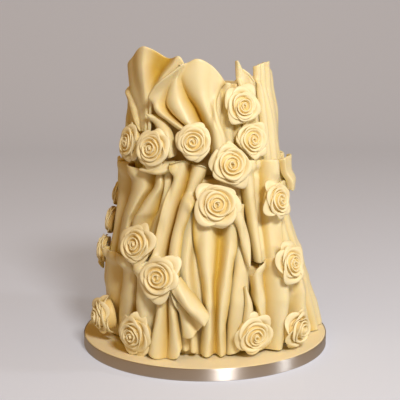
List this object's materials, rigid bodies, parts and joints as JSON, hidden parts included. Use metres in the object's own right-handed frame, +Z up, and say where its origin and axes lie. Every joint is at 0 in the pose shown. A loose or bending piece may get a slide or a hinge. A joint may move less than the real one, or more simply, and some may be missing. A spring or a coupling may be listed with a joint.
{
  "type": "tiered wedding cake",
  "caption": "Tall tiered round cake wrapped in upright folded sheets of white chocolate, with a flared open crown and modelled roses, on a round iced board.",
  "frame": {"origin": "centre of the board's underside", "axes": "+Z up the cake, -Y out of its front, +X to its right as seen from the front"},
  "size_m": [0.305, 0.305, 0.368],
  "materials": {
    "white_chocolate": "satin, softly waxy modelling chocolate",
    "rose_chocolate": "satin modelling chocolate petals",
    "cake_covering": "smooth chocolate paste over sponge",
    "board_icing": "rolled icing, smoothed",
    "satin_ribbon": "satin weave",
    "board_foil": "embossed foil paper on card"
  },
  "bodies": {
    "root": {"board": "board_foil", "board_icing": "board_icing", "ribbon": "satin_ribbon", "tier_bottom": "cake_covering", "tier_middle": "cake_covering", "tier_top": "cake_covering", "drape_crown_back_right": "white_chocolate", "drape_crown_back_left": "white_chocolate", "drape_left_shoulder": "white_chocolate", "drape_crown_left": "white_chocolate", "drape_crown_gap": "white_chocolate", "drape_crown_right_leaf": "white_chocolate", "drape_crown_right": "white_chocolate", "drape_crown_tail": "white_chocolate", "drape_crown_front": "white_chocolate", "drape_middle_left": "white_chocolate", "drape_middle_right": "white_chocolate", "drape_middle_tip": "white_chocolate", "drape_long_back_right": "white_chocolate", "drape_long_back": "white_chocolate", "drape_long_back_left": "white_chocolate", "drape_long_right": "white_chocolate", "drape_low_left": "white_chocolate", "drape_low_left_strip": "white_chocolate", "drape_low_right_folds": "white_chocolate", "drape_centre_strip": "white_chocolate", "drape_centre_panel": "white_chocolate", "drape_centre": "white_chocolate", "drape_middle_front": "white_chocolate", "drape_middle_leaf": "white_chocolate", "drape_fan_tail": "white_chocolate", "drape_fan": "white_chocolate", "drape_fan_flare": "white_chocolate", "drape_fan_end": "white_chocolate", "drape_low_right_chip": "white_chocolate", "drape_low_right": "white_chocolate", "drape_swag": "white_chocolate", "rose_01": "rose_chocolate", "rose_02": "rose_chocolate", "rose_03": "rose_chocolate", "rose_04": "rose_chocolate", "rose_05": "rose_chocolate", "rose_06": "rose_chocolate", "rose_07": "rose_chocolate", "rose_08": "rose_chocolate", "rose_09": "rose_chocolate", "rose_10": "rose_chocolate", "rose_11": "rose_chocolate", "rose_12": "rose_chocolate", "rose_13": "rose_chocolate", "rose_14": "rose_chocolate", "rose_15": "rose_chocolate", "rose_16": "rose_chocolate", "rose_17": "rose_chocolate", "rose_18": "rose_chocolate", "rose_19": "rose_chocolate", "rose_20": "rose_chocolate", "rose_21": "rose_chocolate", "rose_22": "rose_chocolate", "rose_23": "rose_chocolate"}
  },
  "joints": []
}
